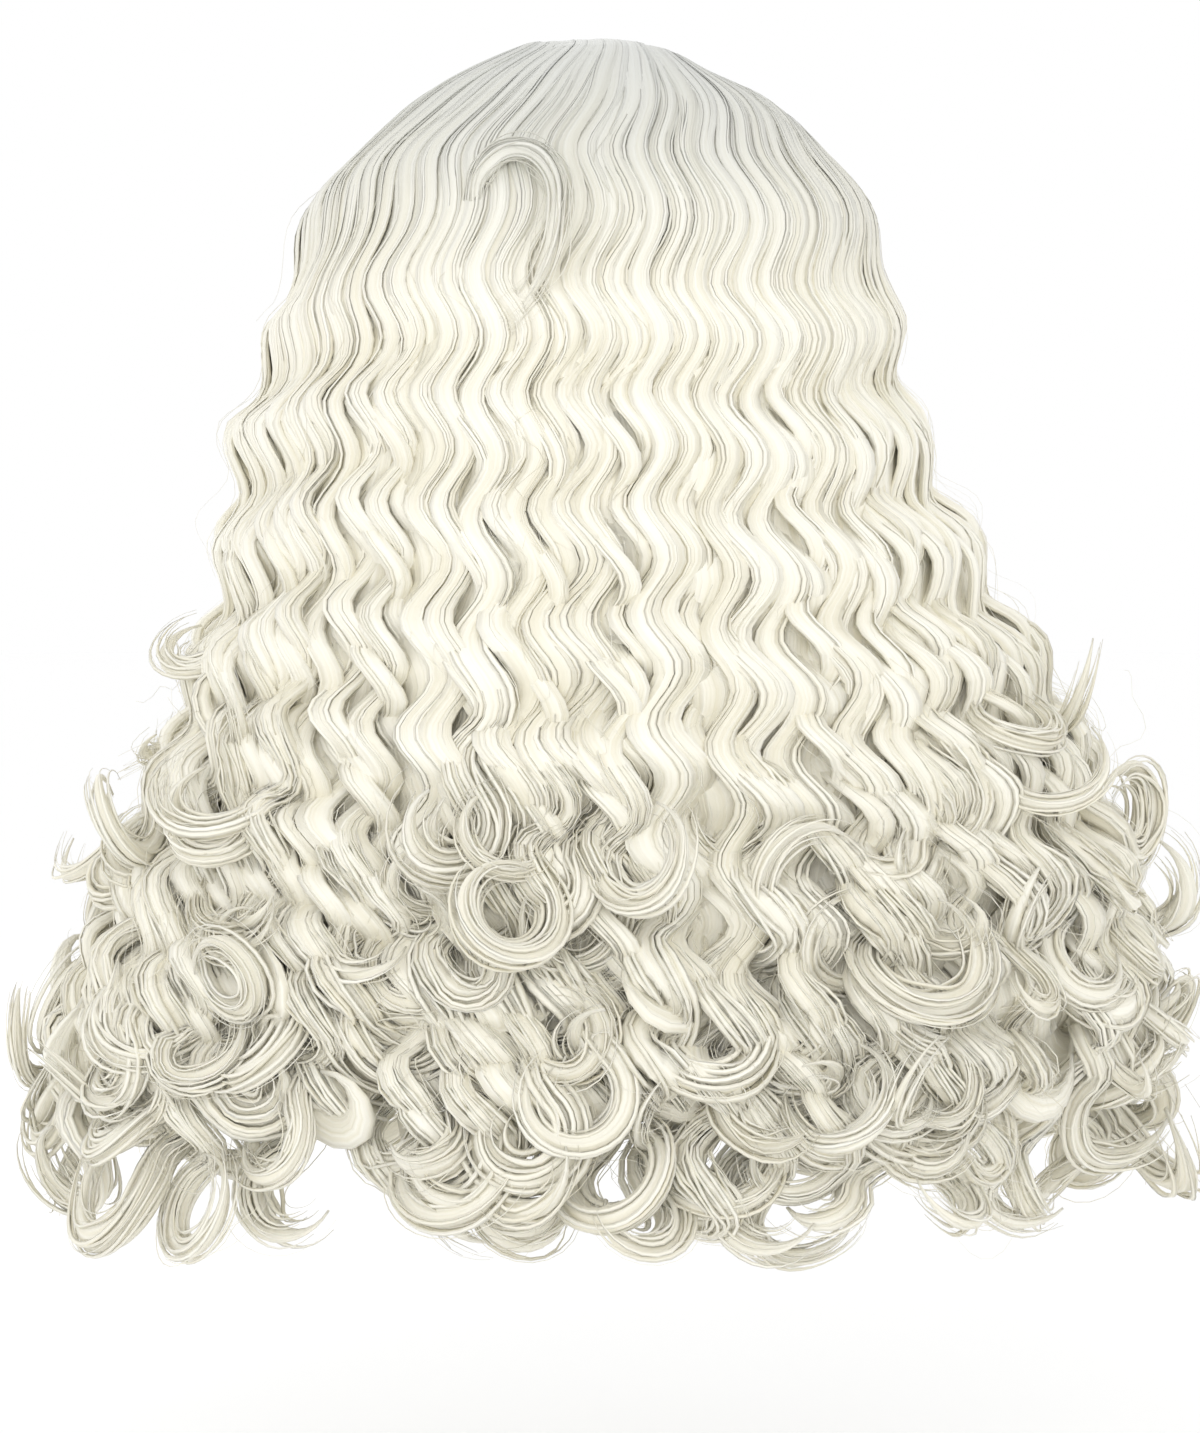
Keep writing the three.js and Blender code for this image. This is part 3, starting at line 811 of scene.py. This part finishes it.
def section_locks(section, hair, rng):
    """The locks of a section, side by side and in layers, and the shorter curls among them."""
    locks = []
    count = section["locks"]
    for k in range(count):
        share = (k + 0.5 + rng.uniform(-0.15, 0.15)) / count
        locks.append(new_lock(section, share, LAYERS[k % len(LAYERS)], hair, rng))
    layer = BACK_CURLS if "back" in section["piece"] else SIDE_CURLS
    for k in range(count):
        curl = new_lock(section, (k + rng.random()) / count, layer, hair, rng)
        curl["root_row"] = curl["tip_row"] - rng.uniform(0.2, 0.38)
        curl["sink"] = CURL_SINK
        curl["turns"] = rng.uniform(0.4, 0.8)
        curl["ring"] *= rng.uniform(0.7, 1.05)
        curl["girth"] *= rng.uniform(0.6, 0.95)
        curl["bundles"] = 0
        locks.append(curl)
    return locks


def new_lock(section, share, layer, hair, rng):
    """A lock at a share of the way across its section."""
    tip = rng.uniform(*layer["tip"]) * MM
    azimuth = mix(section["from"], section["to"], share)
    return {
        "table": OUTLINE,
        "azimuth": azimuth,
        "drift": 2.5 * math.sin(0.13 * azimuth) + rng.normal(0, 0.9),
        "inset": rng.uniform(*layer["inset"]) * MM,
        "tip_row": 1 + (tip - EQUATOR) / (HEM - EQUATOR),
        "phase": rng.normal(0, 1.9),
        "swing": rng.uniform(0.85, 1.2),
        "hand": rng.choice((-1, 1)),
        "lean": rng.uniform(-60, 0) if "front" in section["piece"] else rng.uniform(-40, 45),
        "roll": rng.normal(0, 0.35),
        "ring": hair.ring * rng.uniform(0.7, 1.1),
        "turns": rng.uniform(0.45, 0.95),
        "tighten": rng.uniform(0.05, 0.22),
        "pitch": rng.uniform(-0.25, 0.35),
        "girth": rng.uniform(0.8, 1.35),
        "bundles": hair.bundles,
        "tails": hair.tails,
        "strands": hair.strands,
    }


def under_lock(layer, azimuth, hair, rng):
    """A plain wide lock inside the hair, with no fibre of its own."""
    return {
        "table": layer["table"],
        "azimuth": azimuth + rng.uniform(-1.5, 1.5),
        "drift": rng.normal(0, 2),
        "root_row": 0.3,
        "inset": rng.uniform(*layer["inset"]) * MM,
        "tip_row": rng.uniform(*layer["tip_row"]),
        "phase": rng.normal(0, 0.8),
        "swing": rng.uniform(0.5, 0.7),
        "hand": rng.choice((-1, 1)),
        "lean": rng.uniform(-20, 40),
        "roll": 0,
        "ring": hair.ring * rng.uniform(0.7, 1),
        "turns": rng.uniform(0.4, 0.8),
        "tighten": 0.2,
        "pitch": 0.1,
        "girth": rng.uniform(*layer["girth"]),
        "top": 1.3,
        "bury": 0.25,
        "bundles": 0,
        "tails": 0,
        "strands": 0,
        "coarse": 1.5,
    }


# Finishes


def nodes_of(name):
    material = bpy.data.materials.new(name)
    material.use_nodes = True
    tree = material.node_tree
    return material, tree.nodes, tree.links, tree.nodes["Principled BSDF"]


def stretched_noise(nodes, links, uv, scale, detail):
    """Noise drawn out along the strand."""
    mapping = nodes.new("ShaderNodeMapping")
    mapping.inputs["Scale"].default_value = scale
    noise = nodes.new("ShaderNodeTexNoise")
    noise.noise_dimensions = "2D"
    noise.inputs["Scale"].default_value = 1
    noise.inputs["Detail"].default_value = detail
    links.new(uv.outputs["UV"], mapping.inputs["Vector"])
    links.new(mapping.outputs["Vector"], noise.inputs["Vector"])
    return noise.outputs["Fac"]


def added(nodes, links, first, second):
    total = nodes.new("ShaderNodeMath")
    total.operation = "ADD"
    links.new(first, total.inputs[0])
    links.new(second, total.inputs[1])
    return total.outputs[0]


def blended(nodes, links, share, first, second):
    """Two colours mixed by a share. Each is a colour or another node's output."""
    blend = nodes.new("ShaderNodeMix")
    blend.data_type = "RGBA"
    links.new(share, blend.inputs[0])
    for socket, colour in ((blend.inputs[6], first), (blend.inputs[7], second)):
        if isinstance(colour, bpy.types.NodeSocket):
            links.new(colour, socket)
        else:
            socket.default_value = (*colour, 1)
    return blend.outputs[2]


def ranged(nodes, links, value, low, high):
    """A value as a share of the way from low to high."""
    scaled = nodes.new("ShaderNodeMapRange")
    scaled.inputs["From Min"].default_value = low
    scaled.inputs["From Max"].default_value = high
    links.new(value, scaled.inputs["Value"])
    return scaled.outputs["Result"]


def bumped(nodes, links, height, shader, strength, distance):
    """Raises a shader's surface by a height, and returns the node that does it."""
    bump = nodes.new("ShaderNodeBump")
    bump.inputs["Strength"].default_value = strength
    bump.inputs["Distance"].default_value = distance
    links.new(height, bump.inputs["Height"])
    links.new(bump.outputs["Normal"], shader.inputs["Normal"])
    return bump


def hair_material(colours):
    """Satin fibres: fine streaks along each lock, a tone of its own for each with painted sheen on the
    crests of its waves, and painted shade that makes the crown darker and cooler.
    """
    if "wig_hair" in bpy.data.materials:
        return bpy.data.materials["wig_hair"]
    material, nodes, links, shader = nodes_of("wig_hair")
    uv = nodes.new("ShaderNodeUVMap")
    uv.uv_map = "Strand"
    tone = nodes.new("ShaderNodeAttribute")
    tone.attribute_name = "tone"
    fine = stretched_noise(nodes, links, uv, *FINE_STREAKS)
    broad = stretched_noise(nodes, links, uv, *BROAD_STREAKS)
    streaks = added(nodes, links, fine, broad)
    # Streaks plus the tone and the painted sheen.
    streaks_tone_and_sheen = added(nodes, links, streaks, tone.outputs["Fac"])
    shade = ranged(nodes, links, streaks_tone_and_sheen, *SHADE_RANGE)
    where = nodes.new("ShaderNodeTexCoord")
    height = nodes.new("ShaderNodeSeparateXYZ")
    links.new(where.outputs["Object"], height.inputs["Vector"])
    # Painted shade: a share that rises towards the top of the crown, for a darker, cooler colour.
    crown = ranged(nodes, links, height.outputs["Z"], *PAINTED_CROWN_SHADE_RANGE)
    streaks_and_sheen_colour = blended(nodes, links, shade, colours.hair_deep, colours.hair_light)
    links.new(blended(nodes, links, crown, streaks_and_sheen_colour, colours.hair_crown_painted_shade), shader.inputs["Base Color"])
    bumped(nodes, links, streaks, shader, 0.75, 0.7 * MM)
    tangent = nodes.new("ShaderNodeTangent")
    tangent.direction_type = "UV_MAP"
    tangent.uv_map = "Strand"
    links.new(tangent.outputs["Tangent"], shader.inputs["Tangent"])
    shader.inputs["Roughness"].default_value = 0.36
    shader.inputs["Anisotropic"].default_value = 0.7
    shader.inputs["Specular IOR Level"].default_value = 0.5
    return material


def net_material(colours):
    """Matt stretch net with an open weave."""
    material, nodes, links, shader = nodes_of("wig_net")
    where = nodes.new("ShaderNodeTexCoord")
    weave = nodes.new("ShaderNodeTexVoronoi")
    weave.feature = "DISTANCE_TO_EDGE"
    weave.inputs["Scale"].default_value = NET_SCALE
    links.new(where.outputs["Object"], weave.inputs["Vector"])
    open_share = ranged(nodes, links, weave.outputs["Distance"], 0, 0.25)
    shaded = [c * NET_SHADE for c in colours.net]
    links.new(blended(nodes, links, open_share, colours.net, shaded), shader.inputs["Base Color"])
    bumped(nodes, links, open_share, shader, 0.6, 0.4 * MM).invert = True
    shader.inputs["Roughness"].default_value = 0.85
    return material


def stand_for(piece, slot, *nodes):
    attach(piece, "root")
    if nodes:
        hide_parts(*nodes)


# Operators


class WIG_OT_cap(bpy.types.Operator):
    """Makes the stretch cap inside the hair"""

    bl_idname = "wig.cap"
    bl_label = "Cap"

    def execute(self, context):
        mesh = bmesh.new()
        bmesh.ops.create_grid(mesh, x_segments=CAP_STEPS[0], y_segments=CAP_STEPS[1], size=1)
        for vert in mesh.verts:
            vert.co = cap_point(180 * vert.co.x, max(0.0, (vert.co.y + 1) / 2))
        bmesh.ops.remove_doubles(mesh, verts=mesh.verts, dist=1e-6)
        bmesh.ops.recalc_face_normals(mesh, faces=mesh.faces)
        bmesh.ops.solidify(mesh, geom=mesh.faces[:], thickness=CAP_WALL)
        for face in mesh.faces:
            face.smooth = True
        data = bpy.data.meshes.new("cap_net")
        mesh.to_mesh(data)
        mesh.free()
        data.materials.append(net_material(context.scene.wig_colours))
        stand_for(place("cap_net", data), "cap_net", *CAP_PANELS)
        return {"FINISHED"}


def cap_point(azimuth, share):
    """A point on the outside of the cap: share 0 is the crown, and 1 is the edge."""
    edge = np.interp(abs(azimuth), CAP_EDGE_AZIMUTH, CAP_EDGE_Z)
    z = edge * (1 - math.cos(share * math.pi / 2))
    level = min(max(1 + z / CAP_DEPTH, 0), 1)
    backward = max(0, -math.cos(math.radians(azimuth)))
    below = max(0, (-CAP_DEPTH - z) / (-CAP_DEPTH - CAP_EDGE_Z[-1]))
    width = math.sqrt(1 - level**2) * (1 - NAPE_TUCK / CAP_HALF_LENGTH * backward * below**2)
    x, y, _ = outward(np.float64(azimuth))
    return Vector((
        x * width * (CAP_HALF_BREADTH + CAP_WALL),
        y * width * (CAP_HALF_LENGTH + CAP_WALL),
        z + CAP_WALL * level,
    ))


class WIG_OT_locks(bpy.types.Operator):
    """Makes the wavy locks of every section, with their end curls"""

    bl_idname = "wig.locks"
    bl_label = "Locks"

    def execute(self, context):
        hair = context.scene.wig_hair
        material = hair_material(context.scene.wig_colours)
        rng = np.random.default_rng(hair.seed)
        for section in SECTIONS:
            strands = Strands()
            for lock in section_locks(section, hair, rng):
                fill_lock(strands, lock_course(lock, hair), lock, hair, rng)
            if section["from"] < CROWN_CURL_AZIMUTH < section["to"]:
                fill_lock(strands, crown_course(hair), CROWN_CURL_MAKE, hair, rng)
            stand_for(strands.to_object(section["piece"], material), "hair", section["node"])
        return {"FINISHED"}


class WIG_OT_under_hair(bpy.types.Operator):
    """Makes the flat locks inside the hanging hair, and the band under the parting"""

    bl_idname = "wig.under_hair"
    bl_label = "Under hair"

    def execute(self, context):
        hair = context.scene.wig_hair
        rng = np.random.default_rng(hair.seed + 1)
        strands = Strands()
        locks = [under_lock(layer, at, hair, rng) for layer in UNDER_LAYERS for at in UNDER_AZIMUTHS]
        for lock in locks:
            fill_lock(strands, lock_course(lock, hair), lock, hair, rng)
        strands.add(*parting_band(), 8, TONE[0], (0, 0))
        stand_for(strands.to_object("under_hair", hair_material(context.scene.wig_colours)), "hair")
        return {"FINISHED"}


class WIG_OT_flyaways(bpy.types.Operator):
    """Makes the loose strands that stray from the locks"""

    bl_idname = "wig.flyaways"
    bl_label = "Flyaways"

    def execute(self, context):
        hair = context.scene.wig_hair
        rng = np.random.default_rng(hair.seed + 2)
        locks = [lock for section in SECTIONS for lock in section_locks(section, hair, rng)]
        strands = Strands()
        for _ in range(hair.flyaways):
            lock = dict(locks[rng.integers(len(locks))])
            lock["inset"] = rng.uniform(0, 8) * MM
            lock["ring"] *= rng.uniform(1, 1.3)
            path, side, face, *_ = lock_course(lock, hair)
            count = min(rng.integers(*FLYAWAY_POINTS), len(path))
            first = int((len(path) - count) * rng.random() ** FLYAWAY_BIAS)
            part = slice(first, first + count)
            share = np.linspace(0, 1, count)
            lift = rng.uniform(0, 9) * MM * smoothstep(share, 0, 1)
            aside = wander(share, rng, FLYAWAY_LOOSE)
            strand = path[part] + face[part] * lift[:, None] + side[part] * aside[:, None]
            thick = rng.uniform(0.11, 0.2) * MM * mix(1, 0.5, share)
            # A random tone, with no painted sheen.
            tone = rng.random()
            strands.add(strand, side[part], face[part], thick, thick, FINE_SIDES, tone, map_offset(rng))
        stand_for(strands.to_object("flyaway_strands", hair_material(context.scene.wig_colours)), "hair")
        return {"FINISHED"}


class WIG_OT_stage(bpy.types.Operator):
    """Makes the floor, the lights and the camera"""

    bl_idname = "wig.stage"
    bl_label = "Stage"

    def execute(self, context):
        scene = context.scene
        settings = scene.wig_stage
        add_floor(settings.floor_height)
        world = bpy.data.worlds.new("studio")
        scene.world = world
        world.use_nodes = True
        world.node_tree.nodes["Background"].inputs["Color"].default_value = (1, 1, 1, 1)
        world.node_tree.nodes["Background"].inputs["Strength"].default_value = settings.ambient
        scene.view_settings.view_transform = "Standard"
        add_light("key_light", KEY_PLACE, KEY_SIZE, settings.key)
        add_light("fill_light", FILL_PLACE, FILL_SIZE, settings.key * FILL_SHARE)
        camera = bpy.data.objects.new("camera", bpy.data.cameras.new("camera"))
        scene.collection.objects.link(camera)
        camera.data.lens = CAMERA_LENS
        camera.data.sensor_width = CAMERA_SENSOR
        tilt = math.radians(CAMERA_TILT)
        camera.location = CAMERA_AIM + Vector((0, math.cos(tilt), math.sin(tilt))) * CAMERA_DISTANCE
        face_point(camera, CAMERA_AIM)
        scene.camera = camera
        return {"FINISHED"}


def add_floor(height):
    """A wide round floor of white paper."""
    mesh = bmesh.new()
    bmesh.ops.create_circle(mesh, cap_ends=True, segments=96, radius=FLOOR_RADIUS)
    bmesh.ops.translate(mesh, verts=mesh.verts, vec=(0, 0, height))
    data = bpy.data.meshes.new("floor")
    mesh.to_mesh(data)
    mesh.free()
    material, _, _, shader = nodes_of("floor_paper")
    shader.inputs["Base Color"].default_value = (1, 1, 1, 1)
    shader.inputs["Roughness"].default_value = 0.9
    data.materials.append(material)
    place("floor", data)


def add_light(name, location, size, power):
    """A soft square light that faces the middle of the wig."""
    light = bpy.data.lights.new(name, "AREA")
    light.size = size
    light.energy = power
    lamp = bpy.data.objects.new(name, light)
    lamp.location = location
    face_point(lamp, LIGHT_AIM)
    bpy.context.scene.collection.objects.link(lamp)


def face_point(thing, point):
    """Turns a light or a camera towards a point."""
    thing.rotation_euler = (point - thing.location).to_track_quat("-Z", "Y").to_euler()


class WIG_PT_panel(bpy.types.Panel):
    """Lists the steps that build the wig"""

    bl_idname = "WIG_PT_panel"
    bl_label = "Curly wig"
    bl_space_type = "VIEW_3D"
    bl_region_type = "UI"
    bl_category = "Wig"

    def draw(self, context):
        for operator in OPERATORS:
            self.layout.operator(operator.bl_idname)
        for group in (context.scene.wig_hair, context.scene.wig_colours, context.scene.wig_stage):
            box = self.layout.box()
            for name in group.__annotations__:
                box.prop(group, name)


GROUPS = (WigHair, WigColours, WigStage)
OPERATORS = (WIG_OT_cap, WIG_OT_under_hair, WIG_OT_locks, WIG_OT_flyaways, WIG_OT_stage)


def register():
    for kind in (*GROUPS, *OPERATORS, WIG_PT_panel):
        bpy.utils.register_class(kind)
    bpy.types.Scene.wig_hair = PointerProperty(type=WigHair)
    bpy.types.Scene.wig_colours = PointerProperty(type=WigColours)
    bpy.types.Scene.wig_stage = PointerProperty(type=WigStage)


def unregister():
    del bpy.types.Scene.wig_hair
    del bpy.types.Scene.wig_colours
    del bpy.types.Scene.wig_stage
    for kind in reversed((*GROUPS, *OPERATORS, WIG_PT_panel)):
        bpy.utils.unregister_class(kind)


def main():
    register()
    bpy.ops.wig.cap()
    bpy.ops.wig.under_hair()
    bpy.ops.wig.locks()
    bpy.ops.wig.flyaways()
    bpy.ops.wig.stage()


if __name__ == "__main__":
    main()
